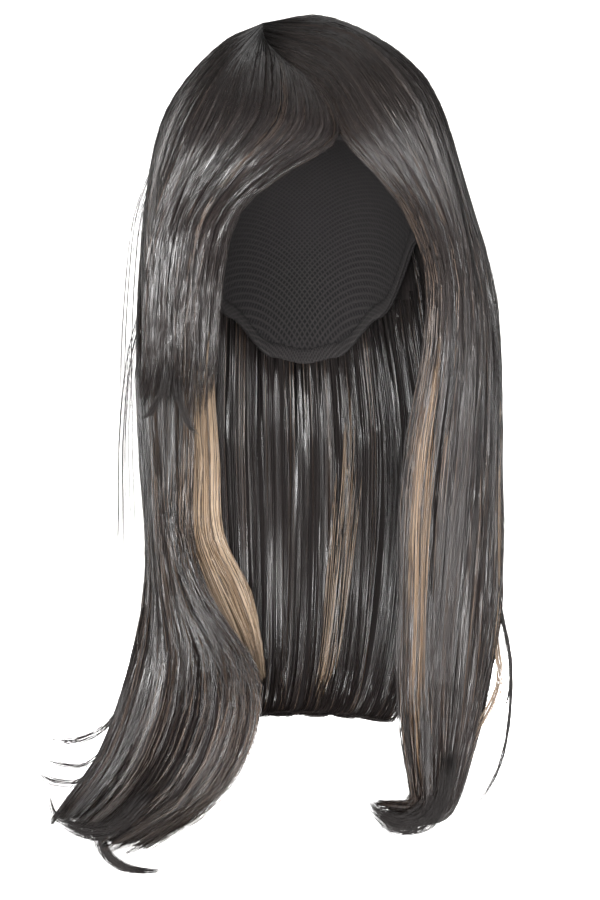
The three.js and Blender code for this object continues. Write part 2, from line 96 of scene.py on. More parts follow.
# Relief of the locks
LOCK_DEPTH = 2.4
LOCK_ROUNDNESS = 0.7
RELIEF = {"from": 0.02, "full": 0.3, "most": 0.3}
TIP_NOTCH = 0.022
LOCK_TURN = 2.4
EDGE_SHARE = 0.4

# A point with two numbers, x and z, lies on the front of the dome. Thickness goes inward to the core,
# or without one to the cap's axis.
Row = namedtuple("Row", "points thick core", defaults=[None])

LEFT_TEMPLE = [(-46, 70), (-62, 38)]
RIGHT_TEMPLE = [(26, 92), (60, 57)]

# Left side, from the brow down: front edge, outermost line and rear edge
LEFT = [
    Row([(-77, 4), (-95, 10, 0), (-69, 77, 0)], 24),
    Row([(-76, -36, -50), (-98, 12, -45), (-70, 78, -48)], 18),
    Row([(-70, -26, -95), (-100, 14, -92), (-70, 78, -95)], 14),
    Row([(-69, -20, -142), (-98, 16, -139), (-69, 77, -142)], 14),
    Row([(-70, -14, -188), (-95, 18, -188), (-67, 73, -190)], 15, (-30, 30)),
    Row([(-57, -8, -226), (-96, 20, -230), (-69, 66, -232)], 16, (-40, 45)),
    Row([(-26, -2, -270), (-105, 22, -270), (-84, 57, -272)], 17, (-55, 60)),
    Row([(-34, 2, -318), (-124, 24, -322), (-100, 56, -318)], 15, (-75, 65)),
    Row([(-64, 6, -358), (-143, 24, -348), (-122, 52, -346)], 10, (-100, 65)),
    Row([(-110, 10, -379), (-153, 22, -362), (-140, 42, -357)], 3, (-125, 60)),
]

# Right side, with the same columns
RIGHT = [
    Row([(81, 5), (99, 14, 0), (69, 77, 0)], 24),
    Row([(93, -36, -38), (111, 16, -42), (78, 79, -45)], 18),
    Row([(97, -22, -86), (117, 18, -88), (83, 79, -92)], 14),
    Row([(95, -14, -140), (117, 20, -140), (85, 77, -142)], 14),
    Row([(91, -9, -186), (118, 22, -188), (83, 74, -190)], 14, (20, 30)),
    Row([(87, -5, -232), (117, 24, -234), (80, 69, -236)], 15, (40, 32)),
    Row([(84, -2, -280), (110, 26, -282), (86, 60, -284)], 15, (55, 32)),
    Row([(82, 0, -316), (99, 24, -320), (78, 54, -320)], 14, (60, 30, -305)),
    Row([(75, 2, -349), (83, 20, -358), (64, 46, -354)], 10, (58, 26, -318)),
    Row([(43, 4, -352), (42, 14, -357), (38, 34, -353)], 3, (46, 20, -330)),
]

# Back length, from the brow down: an elliptic wall at each height, its hem turned under
Wall = namedtuple("Wall", "z half_width depth shift thick core", defaults=[None])
BACK_REACH = 46
BACK = [
    Wall(0, 96, 113, 0, 24),
    Wall(-60, 104, 115, 4, 24),
    Wall(-130, 107, 113, 8, 15),
    Wall(-200, 101, 109, 8, 14),
    Wall(-278, 88, 103, 4, 12, (0, 0, -270)),
    Wall(-306, 80, 91, -2, 9, (0, 40, -262)),
    Wall(-304, 74, 78, -8, 3, (0, 60, -262)),
]

# Fringe, from the crest down: face edge, middle and outer edge
FRINGE = [
    Row([(9, 53), (-22, 72), LEFT_TEMPLE[0]], 20),
    Row([(17, 28), (-26, 40), LEFT_TEMPLE[1]], 14),
    Row([(-10, 9), (-48, 10), (-77, 4)], 9),
    Row([(-36, -12), (-65, -18), (-86, -48, -28)], 8),
    Row([(-47, -77, -47), (-71, -64, -56), (-89, -44, -66)], 8),
    Row([(-51, -66, -84), (-74, -56, -92), (-91, -40, -98)], 7),
    Row([(-54, -60, -126), (-77, -52, -128), (-95, -38, -119)], 2),
]

# Sweep over the right temple and down the front of the right side, with the same columns
SWEEP = [
    Row([(10, 53), (18, 79), RIGHT_TEMPLE[0]], 20),
    Row([(21, 28), (43, 43), RIGHT_TEMPLE[1]], 14),
    Row([(49, -2), (67, 3), (81, 5)], 9),
    Row([(68, -61, -36), (82, -54, -35), (92, -42, -34)], 9, (20, 10)),
    Row([(68, -45, -83), (84, -39, -84), (96, -28, -84)], 10, (30, 30)),
    Row([(59, -36, -140), (78, -31, -140), (94, -20, -140)], 11, (30, 40)),
    Row([(56, -30, -186), (74, -25, -186), (90, -15, -186)], 12, (40, 50)),
    Row([(56, -24, -231), (72, -20, -232), (86, -11, -232)], 12, (45, 50)),
    Row([(55, -19, -277), (70, -16, -278), (83, -8, -279)], 12, (50, 50)),
    Row([(58, -15, -312), (71, -13, -314), (81, -6, -315)], 11, (55, 50)),
    Row([(61, -11, -341), (68, -10, -347), (74, -4, -350)], 8, (58, 50)),
    Row([(39, -6, -342), (40, -4, -347), (43, 0, -351)], 2.5, (48, 50)),
]

# Fair inner lock that hangs from the rim on the left: outer and inner edge
LEFT_LOCK = [
    Row([(-71, 37, -18), (-59, 55, -44)], 7),
    Row([(-74, 32, -95), (-57, 52, -95)], 7),
    Row([(-72, 28, -142), (-54, 48, -142)], 7),
    Row([(-72, 28, -188), (-52, 48, -188)], 7),
    Row([(-60, 30, -220), (-36, 50, -222)], 7),
    Row([(-42, 34, -252), (-28, 52, -254)], 6),
    Row([(-30, 40, -284), (-24, 50, -286)], 3),
]

# Strands: how many on a body's outer face, inner face, side edges and ends, their clumps and points, the
# share of odd ones and its growth to the front edge, how uneven the ends are, degrees by which the gloss
# leans to the tip, how many bands of sheen there are, at which share one lies, and the level of gloss
Growth = namedtuple(
    "Growth", "outer inner edges ends clumps points odd front uneven lean bands band shine seed"
)
GROWTH = {
    "back_hair": Growth(1000, 420, 120, 160, 46, 16, 0.05, 0, 1, 0, 1.5, 0.74, 0.42, 11),
    "left_hair": Growth(1140, 260, 220, 420, 44, 19, 0.05, 0.3, 0.7, 4, 2, 0.77, 0.3, 12),
    "right_hair": Growth(1160, 240, 200, 360, 44, 19, 0.06, 0, 0.7, 3, 2, 0.78, 0.26, 13),
    "sweep": Growth(840, 90, 160, 240, 26, 19, 0.06, 0.1, 0.7, 6, 2, 0.76, 0.19, 14),
    "fringe": Growth(1100, 90, 180, 160, 34, 15, 0.02, 0, 4, 10, 1.5, 0.42, 0.32, 15),
    "highlight_left": Growth(260, 160, 60, 40, 9, 16, 0.2, 0, 1.5, 0, 1.5, 0.6, 0.36, 16),
}
END_POINTS = 9
ROOT_STARTS = (0, 0.006)  # shares of the length between which whole strands begin
END_STARTS = (0.42, 0.75)  # and those of the ends

# Beds: soft bodies under the strands, in millimetres and shares
BED_SINK = 3  # under the form that the strands fill
BED_END = 0.975  # of the length, where bare strands begin
BED_RAGGED = 0.03  # of the length, by which its ends differ
BED_FADE = 0.75  # of its length, from where it thins out
BED_SKIN = 0.3  # most of the thickness that strands take up
BED_LINING = 0.7  # of this skin, on the inner face
BED_THINNEST = 0.4
BED_TIP = 0.1  # of its thickness left at its end
BED_ROWS = 44
BED_COLUMNS = 12  # to each lock
BED_INSET = 0.015  # of the width, at the side edges
ROOT_SHARE = 0.25  # of the depth of a bed or strand, left at its root
ROOT_RUN = 0.06  # of the length, until the depth is full

# Traits of clumps in the same measures: how each is drawn, and its span
CLUMP_TRAITS = {
    "lift": ("uniform", 0, 0.8),  # under the face
    "short": ("exponential", 0.005),  # missing at the tip
    "gather": ("uniform", 0, 0.45),  # of strands towards the tip
    "sway": ("normal", 0, 1.8),  # to the sides
    "pitch": ("uniform", 0.6, 1.5),  # turns of the sway
    "phase": ("uniform", 0, 2 * np.pi),
    "ripple": ("uniform", 0.3, 1.0),  # into the depth
    "beat": ("uniform", 3.5, 5.5),  # turns of the ripple
    "tone": ("normal", 0, 0.1),
}
BORDER_STRAY = 0.35  # of a clump's width
BUNDLES = 3  # of like strands in each clump
SPILL = 1.1  # of its own half width that a clump fills

# Single strands in the same measures
OUTER, INNER, EDGE = range(3)  # faces and side edges, where strands grow
SIDE_MARGIN = 0.002  # between the side edges and the roots
POINTED = 0.006  # missing at the borders of a clump
STRAND_SHORT = 0.006  # missing at the tip
LAYERED = 0.08  # of all strands, which are cut shorter
LAYER_CUT = (0.04, 0.2)
SHORTEST = 0.12
GATHER_FROM = 0.5
STRAY = 1.0  # to the sides
STRAY_TURNS = (0.6, 1.6)
SWAY_GROWS = (0.15, 0.7)
RIPPLE_GROWS = (0.1, 0.35)
RIPPLE_THICK = 12  # thickness of a body in which ripples are full
BURY = {"spread": 0.5, "border": 0.3, "most": 2.4, "outer": 0.24, "inner": 0.2, "lining": 0.6}
EDGE_POWER = 1.3  # crowds strands of side edges to the outer face
TIP_STRAY = 0.4  # into the depth
STRAND_WIDTHS = (0.294, 0.483)
STRAND_FLATNESS = 0.62
PLAIN_TONES = (0.02, 0.84)
FRONT_REACH = 0.35  # of the width, where odd strands are more frequent

# Steps and limits of the sheets and meshes
TINY = 1e-9
PACE_STEPS = 600
STRAIGHT = 1 / 400  # radians per millimetre that count as straight
STATION_STRAY = 0.45  # of the distance between two stations
ACROSS_STEP = 0.02
COVER_REACH = 0.6  # share of the length that may lie under the cap
COVER_STEPS = 61
RIM_COVER = 6  # above the cap's rim, where inner strands begin
TONE_CELLS = 100  # into which the tones of strands are sorted
MAP_NAME = "OFBake"
MAP_MARGIN = 0.02
MAP_HALF = 0.5  # of the map, for each face of a shell
STRIP_HALF = 0.004  # width of half a strand on the map
STRIP_START = 0.01
STRIP_RUN = 0.97
TONE_LIMITS = (0.01, 0.98)
TUBE_ANGLES = np.radians((90, 210, 330))
TAPER = {"root": 0.5, "growth": 6, "run": 0.22, "tip": 0.12, "power": 0.6}

rng_of = np.random.default_rng


def smoothstep(x, low, high):
    t = np.clip((x - low) / (high - low), 0, 1)
    return t * t * (3 - 2 * t)


def unit(vectors):
    return vectors / np.maximum(np.linalg.norm(vectors, axis=-1, keepdims=True), TINY)


# Centripetal Catmull-Rom curve through points (..., n, 3), at shares t of its number of spans
def spline(points, t):
    spans = points.shape[-2] - 1
    place = np.clip(t, 0, 1) * spans
    before = np.minimum(place.astype(int), spans - 1)
    first = 2 * points[..., :1, :] - points[..., 1:2, :]
    last = 2 * points[..., -1:, :] - points[..., -2:-1, :]
    padded = np.concatenate([first, points, last], axis=-2)
    if points.ndim == 2:
        p = [padded[before + k] for k in range(4)]
    else:
        p = [np.take_along_axis(padded, (before + k)[..., None, None], -2)[..., 0, :] for k in range(4)]
    d = [np.maximum(np.linalg.norm(p[k + 1] - p[k], axis=-1, keepdims=True), TINY) ** 0.5 for k in range(3)]
    start = ((p[1] - p[0]) / d[0] - (p[2] - p[0]) / (d[0] + d[1]) + (p[2] - p[1]) / d[1]) * d[1]
    finish = ((p[2] - p[1]) / d[1] - (p[3] - p[1]) / (d[1] + d[2]) + (p[3] - p[2]) / d[2]) * d[1]
    w = (place - before)[..., None]
    bend = 2 * (p[1] - p[2]) + start + finish
    sag = 3 * (p[2] - p[1]) - 2 * start - finish
    return p[1] + w * (start + w * (sag + w * bend))


# Cap
def rim_height(azimuth):
    turned = np.abs((np.asarray(azimuth) + 180) % 360 - 180)
    after = np.clip(np.searchsorted(RIM_AZIMUTH, turned), 1, len(RIM_AZIMUTH) - 1)
    low = np.take(RIM_AZIMUTH, after - 1)
    high = np.take(RIM_AZIMUTH, after)
    share = smoothstep(turned, low, high)
    return np.take(RIM_Z, after - 1) * (1 - share) + np.take(RIM_Z, after) * share


def head_ring(azimuth, offset):
    across = np.sin(azimuth) / (HEAD["half_width"] + offset)
    along = np.cos(azimuth) / (HEAD["half_length"] + offset)
    return 1 / np.hypot(across, along)


def head_taper(azimuth, z):
    share = np.cos(azimuth) ** 2
    return 1 - (SIDE_TAPER + (BACK_TAPER - SIDE_TAPER) * share) * (z / HEAD_DROP) ** 2


# Points of the cap's inner form grown by an offset, at degrees above the brow or millimetres below it
def head_points(azimuth_degrees, elevation, offset):
    azimuth = np.radians(azimuth_degrees)
    power = 2 / HEAD["squareness"]
    above = elevation > 0
    angle = np.radians(np.clip(elevation, 0, 90))
    z = np.where(above, (HEAD["crown"] + offset) * np.sin(angle) ** power, elevation)
    share = np.where(above, np.maximum(np.cos(angle), 0) ** power, head_taper(azimuth, np.minimum(z, 0)))
    radius = head_ring(azimuth, offset) * share
    return np.stack([radius * np.sin(azimuth), -radius * np.cos(azimuth), z], -1)


def elevation_at(z, offset):
    lift = np.clip(z / (HEAD["crown"] + offset), 0, 1) ** (HEAD["squareness"] / 2)
    return np.where(z <= 0, z, np.degrees(np.arcsin(lift)))


# Moves points of a bed's inner face out of the cap
def clear_of_cap(points):
    offset = CAP_WALL + SEAT
    x, y, z = np.moveaxis(points, -1, 0)
    azimuth = np.arctan2(x, -y)
    free = z < rim_height(np.degrees(azimuth)) - SEAT
    reach = np.maximum(np.hypot(x, y) / head_ring(azimuth, offset), TINY)
    height = np.maximum(z, 0) / (HEAD["crown"] + offset)
    power = HEAD["squareness"]
    depth = (reach**power + height**power) ** (1 / power)
    above = np.where(free, 1, np.maximum(1, 1 / depth))
    level = np.where(free, 1, np.maximum(1, head_taper(azimuth, np.minimum(z, 0)) / reach))
    push = np.where(z > 0, above, level)
    lift = np.where(z > 0, above, 1)
    return np.stack([x * push, y * push, z * lift], -1)


# Guides
def dome_scale(y):
    return np.array([DOME["half_width"], DOME["front"] if y < 0 else DOME["back"], DOME["crown"]], float)


def table_point(values):
    if len(values) == 3:
        return np.array(values, float)
    x, z = values
    rest = 1 - (x / DOME["half_width"]) ** 2 - (z / DOME["crown"]) ** 2
    return np.array([x, -DOME["front"] * math.sqrt(rest), z], float)


def part_point(share):
    y = PART["front_y"] + (PART["rear_y"] - PART["front_y"]) * share
    scale = dome_scale(y)
    rest = 1 - (PART["x"] / scale[0]) ** 2 - (y / scale[1]) ** 2
    return np.array([PART["x"], y, scale[2] * math.sqrt(rest)]) * (1 - PART["notch"])


def over_dome(root, end):
    start = root / dome_scale(root[1])
    finish = end / dome_scale(end[1])
    low, high = np.linalg.norm(start), np.linalg.norm(finish)
    angle = math.acos(float(start @ finish) / (low * high))
    stations = []
    for t in DOME_STATIONS:
        between = start / low * math.sin((1 - t) * angle) + finish / high * math.sin(t * angle)
        notch = (low - 1) * (1 - t) ** NOTCH_FADE
        swell = (high - 1) * t**SWELL
        between *= (1 + notch + swell) / np.linalg.norm(between)
        stations.append(between * dome_scale(between[1]))
    return stations


def hanging_guide(root, table, column, stations=None):
    hanging = [table_point(row.points[column]) for row in table]
    over = over_dome(root, hanging[0]) if stations is None else [root, *map(table_point, stations)]
    return over + hanging


def back_guide(degrees):
    angle = math.radians(degrees)
    turn = np.array([math.sin(angle), math.cos(angle), 0])
    hanging = [
        np.array([row.shift + row.half_width * turn[0], row.depth * turn[1], row.z]) for row in BACK
    ]
    return over_dome(part_point(1) + CROWN_RADIUS * turn, hanging[0]) + hanging


class HairSheet:
    """A body of hair: guides side by side make its outer face, and its thickness goes inward."""

    def __init__(self, guides, table, locks, lengths):
        self.guides = np.array(guides)
        over_head = self.guides.shape[1] - len(table)
        heights = self.guides[..., 2].mean(0)
        self.thick = np.array([DOME_THICK] * over_head + [row.thick for row in table], float)
        cores = [None] * over_head + [row.core for row in table]
        self.cores = np.array([self.core_point(core, z) for core, z in zip(cores, heights)])
        self.stations = np.linspace(0, 1, len(heights))
        self.locks = locks
        self.lengths = lengths
        self.set_pace()

    @staticmethod
    def core_point(core, height):
        x, y, *rest = core or (0, 0)
        return (x, y, rest[0] if rest else min(height, 0))

    # Spreads stations so that the chords between them sag alike: they stand closer in bends
    def set_pace(self):
        v = np.linspace(0, 1, PACE_STEPS)
        points = spline(self.guides[len(self.guides) // 2], v)
        steps = np.diff(points, axis=0)
        lengths = np.linalg.norm(steps, axis=1)
        heading = unit(steps)
        turning = np.arccos(np.clip((heading[1:] * heading[:-1]).sum(1), -1, 1))
        bend = np.concatenate([turning[:1], turning]) / lengths
        cost = lengths * np.sqrt(bend + STRAIGHT)
        self.pace_v = v
        self.pace = np.concatenate([[0], np.cumsum(cost)]) / cost.sum()
        self.run = lengths.sum()

    # Stations between two shares of the length, set off at random from those of the neighbours
    def spread(self, start, end, count, rng):
        low = np.interp(start, self.pace_v, self.pace)
        high = np.interp(end, self.pace_v, self.pace)
        shift = rng.uniform(-STATION_STRAY, STATION_STRAY, (len(start), 1)) / (count - 1)
        share = np.linspace(0, 1, count) + shift
        share[:, 0] = 0
        share[:, -1] = 1
        return np.interp(low[:, None] + (high - low)[:, None] * share, self.pace, self.pace_v)

    def face(self, u, v):
        rows = np.stack([spline(guide, v) for guide in self.guides], axis=-2)
        return spline(rows, np.clip(u, 0, 1))

    def inward(self, u, v):
        core = np.stack([np.interp(v, self.stations, self.cores[:, axis]) for axis in range(3)], -1)
        return unit(core - self.face(u, v))

    def across(self, u, v):
        after = self.face(np.minimum(u + ACROSS_STEP, 1), v)
        before = self.face(np.maximum(u - ACROSS_STEP, 0), v)
        return unit(after - before)

    def depth(self, u, v):
        fullness = np.sqrt(np.maximum(0, np.sin(np.pi * np.clip(u, 0, 1))))
        return np.interp(v, self.stations, self.thick) * (EDGE_SHARE + (1 - EDGE_SHARE) * fullness)

    def crest(self, u):
        return np.abs(np.sin(np.pi * self.locks * u))

    def end_at(self, u):
        lock = np.minimum(np.floor(u * self.locks), self.locks - 1)
        short = self.lengths * (0.5 - 0.5 * np.cos(LOCK_TURN * lock))
        return 1 - short - TIP_NOTCH * (1 - self.crest(u))

    # Share of the length at which the inner face comes out from under the cap
    def below_cap(self, u):
        v = np.linspace(0, COVER_REACH, COVER_STEPS)
        place = np.broadcast_arrays(u[:, None], v)
        points = self.face(*place) + self.inward(*place) * self.depth(*place)[..., None]
        azimuth = np.degrees(np.arctan2(points[..., 0], -points[..., 1]))
        covered = points[..., 2] > rim_height(azimuth) + RIM_COVER
        return v[np.where(covered.any(1), len(v) - 1 - covered[:, ::-1].argmax(1), 0)]

    # Points at depths under the outer face, drifting sideways
    def paths(self, u, v, sink, drift):
        side = self.across(u, v) * drift[..., None]
        return self.face(u, v) + self.inward(u, v) * sink[..., None] + side

    # Share of its depth that a strand or a bed has near the root
    def settle(self, v):
        return ROOT_SHARE + (1 - ROOT_SHARE) * smoothstep(v, 0, ROOT_RUN)

    def groove(self, u, v):
        relief = smoothstep(v, RELIEF["from"], RELIEF["full"])
        groove = LOCK_DEPTH * (1 - self.crest(np.clip(u, 0, 1)) ** LOCK_ROUNDNESS) * relief
        return np.minimum(groove, RELIEF["most"] * self.depth(u, v))


# Guides of a side, from a share of the part back to its end
def side_guides(table, roots, temple):
    return [
        hanging_guide(part_point(roots), table, 0, temple),
        hanging_guide(part_point((1 + roots) / 2), table, 1),
        hanging_guide(part_point(1), table, 2),
    ]


# Guides of the fringe or the sweep, from the front share of the part
def front_guides(table, roots):
    return [hanging_guide(part_point(roots * k / 2), table, k, []) for k in range(3)]


def make_sheets():
    left = side_guides(LEFT, FRINGE_ROOTS, LEFT_TEMPLE)
    right = side_guides(RIGHT, SWEEP_ROOTS, RIGHT_TEMPLE)
    back = [back_guide(share * BACK_REACH) for share in (-1, -0.5, 0, 0.5, 1)]
    lock = [[table_point(row.points[k]) for row in LEFT_LOCK] for k in (0, 1)]
    return {
        "back_hair": HairSheet(back, BACK, locks=6, lengths=0.03),
        "left_hair": HairSheet(left, LEFT, locks=5, lengths=0.02),
        "right_hair": HairSheet(right, RIGHT, locks=5, lengths=0.02),
        "sweep": HairSheet(front_guides(SWEEP, SWEEP_ROOTS), SWEEP, locks=3, lengths=0.02),
        "fringe": HairSheet(front_guides(FRINGE, FRINGE_ROOTS), FRINGE, locks=4, lengths=0.05),
        "highlight_left": HairSheet(lock, LEFT_LOCK, locks=2, lengths=0.04),
    }


# Meshes
def place_object(name, data):
    placed = bpy.data.objects.new(name, data)
    bpy.context.scene.collection.objects.link(placed)
    return placed


def mesh_object(name, points, faces, uv, material):
    """Object of points in millimetres and quads or triangles, each point with its place on the map."""
    loops = np.concatenate([face.ravel() for face in faces])
    totals = np.concatenate([np.full(len(face), face.shape[1]) for face in faces])
    mesh = bpy.data.meshes.new(name)
    mesh.vertices.add(len(points))
    mesh.vertices.foreach_set("co", (points * MM).astype(np.float32).ravel())
    mesh.loops.add(len(loops))
    mesh.loops.foreach_set("vertex_index", loops.astype(np.int32))
    mesh.polygons.add(len(totals))
    starts = np.concatenate([[0], np.cumsum(totals)[:-1]])
    mesh.polygons.foreach_set("loop_start", starts.astype(np.int32))
    mesh.polygons.foreach_set("use_smooth", np.ones(len(totals), bool))
    mesh.uv_layers.new(name=MAP_NAME).uv.foreach_set("vector", uv[loops].astype(np.float32).ravel())
    mesh.update(calc_edges=True)
    mesh.materials.append(material)
    return place_object(name, mesh)


Strands = namedtuple("Strands", "paths ups along widths tones")


def tubes(name, strands, material):
    """Strands as closed three-sided tubes, tapered at both ends."""
    paths = strands.paths
    n, k, _ = paths.shape
    heading = unit(np.gradient(paths, axis=1))
    side = unit(np.cross(heading, strands.ups))
    up = np.cross(side, heading)
    share = np.linspace(0, 1, k)
    grown = np.minimum(1, TAPER["root"] + TAPER["growth"] * share)
    taper = grown * np.clip((1 - share) / TAPER["run"], TAPER["tip"], 1) ** TAPER["power"]
    radius = (strands.widths[:, None] / 2 * taper)[..., None]
    flat = STRAND_FLATNESS * up
    rings = [paths + radius * (math.cos(a) * side + math.sin(a) * flat) for a in TUBE_ANGLES]
    points = np.stack(rings, 2)
    ids = np.arange(n * k * 3).reshape(n, k, 3)
    nxt = np.roll(ids, -1, axis=2)
    quads = np.stack([ids[:, :-1], ids[:, 1:], nxt[:, 1:], nxt[:, :-1]], -1).reshape(-1, 4)
    roots = ids[:, 0].reshape(-1, 3)
    tips = ids[:, -1, ::-1].reshape(-1, 3)
    tones = (np.floor(np.clip(strands.tones, *TONE_LIMITS) * TONE_CELLS) + 0.5) / TONE_CELLS
    uv = np.empty((n, k, 3, 2))
    uv[..., 0] = tones[:, None, None] + np.array([-STRIP_HALF, STRIP_HALF, 0.0])
    uv[..., 1] = STRIP_START + STRIP_RUN * strands.along[..., None]
    return mesh_object(name, points.reshape(-1, 3), [quads, roots, tips], uv.reshape(-1, 2), material)


def shell(name, outer, inner, material, wraps=False):
    """Closed body between two grids of points (rows, columns, 3)."""
    rows, columns, _ = outer.shape
    ids = np.arange(rows * columns).reshape(rows, columns)
    under = ids + rows * columns
    if wraps:
        ids = np.concatenate([ids, ids[:, :1]], 1)
        under = np.concatenate([under, under[:, :1]], 1)

    def strip(a, b):
        return np.stack([a[:-1], b[:-1], b[1:], a[1:]], -1).reshape(-1, 4)

    quads = [
        np.stack([ids[:-1, :-1], ids[1:, :-1], ids[1:, 1:], ids[:-1, 1:]], -1).reshape(-1, 4),
        np.stack([under[:-1, :-1], under[:-1, 1:], under[1:, 1:], under[1:, :-1]], -1).reshape(-1, 4),
        strip(ids[0], under[0])[:, ::-1],
        strip(ids[-1], under[-1]),
    ]
    if not wraps:
        quads += [strip(ids[:, 0], under[:, 0]), strip(ids[:, -1], under[:, -1])[:, ::-1]]
    across = np.linspace(MAP_MARGIN, MAP_HALF - MAP_MARGIN, columns)
    u, v = np.meshgrid(across, np.linspace(MAP_MARGIN, 1 - MAP_MARGIN, rows))
    uv = np.concatenate([np.stack([start + u, v], -1).reshape(-1, 2) for start in (0, MAP_HALF)])
    points = np.concatenate([outer.reshape(-1, 3), inner.reshape(-1, 3)])
    faces = np.concatenate(quads)
    a, b, c, d = (points[faces[:, k]] for k in range(4))
    volume = (np.cross(a, b) * c).sum() + (np.cross(a, c) * d).sum()
    return mesh_object(name, points, [faces if volume > 0 else faces[:, ::-1]], uv, material)


# Hair
Clumps = namedtuple("Clumps", ["middle", "half", *CLUMP_TRAITS])


def make_clumps(count, rng):
    edges = np.linspace(0, 1, count + 1)
    edges[1:-1] += rng.uniform(-BORDER_STRAY, BORDER_STRAY, count - 1) / count
    traits = [getattr(rng, draw)(*span, count) for draw, *span in CLUMP_TRAITS.values()]
    return Clumps((edges[1:] + edges[:-1]) / 2, np.diff(edges) / 2, *traits)


Roots = namedtuple("Roots", "kind pick off own place")


# Roots by kind, each with its clump, its place off the clump's middle and the clump's traits
def plant(growth, clumps, counts, rng):
    count = sum(counts)
    kind = np.repeat([OUTER, INNER, EDGE], counts)
    pick = rng.choice(growth.clumps, count, p=clumps.half / clumps.half.sum())
    off = rng.uniform(-SPILL, SPILL, count)
    own = Clumps(*(trait[pick] for trait in clumps))
    place = np.clip(own.middle + off * own.half, SIDE_MARGIN, 1 - SIDE_MARGIN)
    place = np.where(kind == EDGE, rng.integers(0, 2, count), place)
    return Roots(kind, pick, off, own, place)


# Stations along the strands: clumps come to points, and some strands are layered shorter
def strand_stations(sheet, growth, roots, begin, points, rng):
    count = len(roots.kind)
    short = roots.own.short + POINTED * roots.off**2 + rng.exponential(STRAND_SHORT, count)
    end = sheet.end_at(roots.place) - growth.uneven * short
    layered = rng.random(count) < LAYERED
    end = np.where(layered, end - rng.uniform(*LAYER_CUT, count), end)
    hidden = np.where(roots.kind == INNER, sheet.below_cap(roots.place), 0)
    start = np.maximum(hidden, rng.uniform(*begin, count))
    return sheet.spread(start, np.maximum(end, start + SHORTEST), points, rng)


# Places across and drift from them: strands gather to their clump's middle, and clumps sway
def strand_places(roots, v, rng):
    own = roots.own
    size = (len(v), 1)
    gather = 1 - own.gather[:, None] * smoothstep(v, GATHER_FROM, 1)
    u = own.middle[:, None] + (roots.off * own.half)[:, None] * gather
    u = np.where(roots.kind[:, None] == EDGE, roots.place[:, None], np.clip(u, 0, 1))
    wave = np.sin(2 * np.pi * own.pitch[:, None] * v + own.phase[:, None])
    stray = rng.normal(0, STRAY, size) * np.sin(np.pi * rng.uniform(*STRAY_TURNS, size) * v) * v
    return u, own.sway[:, None] * wave * smoothstep(v, *SWAY_GROWS) + stray


# Depths: near the outer or the inner face, or anywhere in a side edge, and rippling
def strand_depths(sheet, roots, u, v, rng):
    own = roots.own
    size = (len(v), 1)
    bury = np.abs(rng.normal(0, BURY["spread"], len(v))) + own.lift + BURY["border"] * roots.off**2
    bury = np.minimum(bury, BURY["most"])[:, None]
    thick = sheet.depth(u, v)
    near = sheet.groove(u, v) + np.minimum(bury, BURY["outer"] * thick) * sheet.settle(v)
    far = thick - np.minimum(BURY["lining"] * bury, BURY["inner"] * thick)
    edge = thick * rng.random(size) ** EDGE_POWER
    ripple = np.sin(2 * np.pi * own.beat[:, None] * v + own.phase[:, None]) * own.ripple[:, None]
    ripple *= smoothstep(v, *RIPPLE_GROWS) * np.minimum(1, thick / RIPPLE_THICK)
    sink = np.choose(roots.kind[:, None], [near, far, edge])
    return sink + ripple + TIP_STRAY * rng.normal(0, 1, size) * v**2


# Tones: bundles are alike, and odd strands stand out
def strand_tones(growth, look, roots, rng):
    count = len(roots.kind)
    bundle = roots.pick * BUNDLES + np.floor((roots.off / SPILL + 1) / 2 * BUNDLES).astype(int)
    shade = rng.normal(look.tone, look.spread, growth.clumps * BUNDLES)[bundle]
    tones = np.clip(shade + roots.own.tone + rng.normal(0, look.jitter, count), *PLAIN_TONES)
    odd = growth.odd + growth.front * np.clip(1 - roots.place / FRONT_REACH, 0, 1)
    return np.where(rng.random(count) < odd, rng.uniform(*look.odd, count), tones)


def grow(sheet, growth, look, clumps, counts, begin, points, rng):
    """Strands of one body: counts on its outer face, its inner face and its side edges."""
    roots = plant(growth, clumps, counts, rng)
    v = strand_stations(sheet, growth, roots, begin, points, rng)
    u, drift = strand_places(roots, v, rng)
    sink = strand_depths(sheet, roots, u, v, rng)
    inward = sheet.inward(u, v)
    ups = np.where((roots.kind == INNER)[:, None, None], inward, -inward)
    widths = rng.uniform(*STRAND_WIDTHS, len(v))
    tones = strand_tones(growth, look, roots, rng)
    return Strands(clear_of_cap(sheet.paths(u, v, sink, drift)), ups, v, widths, tones)


def bed(name, sheet, growth, material, rng):
    """Soft body under the strands, a little inside the form they fill and with ragged ends."""
    columns = BED_COLUMNS * sheet.locks + 1
    u = np.linspace(BED_INSET, 1 - BED_INSET, columns)
    ragged = BED_RAGGED * rng.random(columns) * (np.arange(columns) % 2)
    length = 1 - (1 - BED_END) * growth.uneven
    reach = np.interp(length * sheet.end_at(u) - growth.uneven * ragged, sheet.pace_v, sheet.pace)
    share = np.linspace(0, 1, BED_ROWS)[:, None]
    v = np.interp(share * reach, sheet.pace, sheet.pace_v)
    u = np.broadcast_to(u, v.shape)
    fade = 1 - smoothstep(share, BED_FADE, 1)
    thick = sheet.depth(u, v)
    skin = np.minimum(BED_SINK, BED_SKIN * thick) * sheet.settle(v)
    sink = sheet.groove(u, v) + skin
    core = np.maximum(thick - sink - BED_LINING * skin, BED_THINNEST)
    under = sink + core * (BED_TIP + (1 - BED_TIP) * fade)
    inward = sheet.inward(u, v)
    face = sheet.face(u, v)
    outer = face + inward * sink[..., None]
    inner = clear_of_cap(face + inward * under[..., None])
    return shell(name, outer, inner, material)


# Materials
def nodes_of(name):
    material = bpy.data.materials.new(name)
    material.use_nodes = True
    tree = material.node_tree
    return material, tree, tree.nodes["Principled BSDF"]


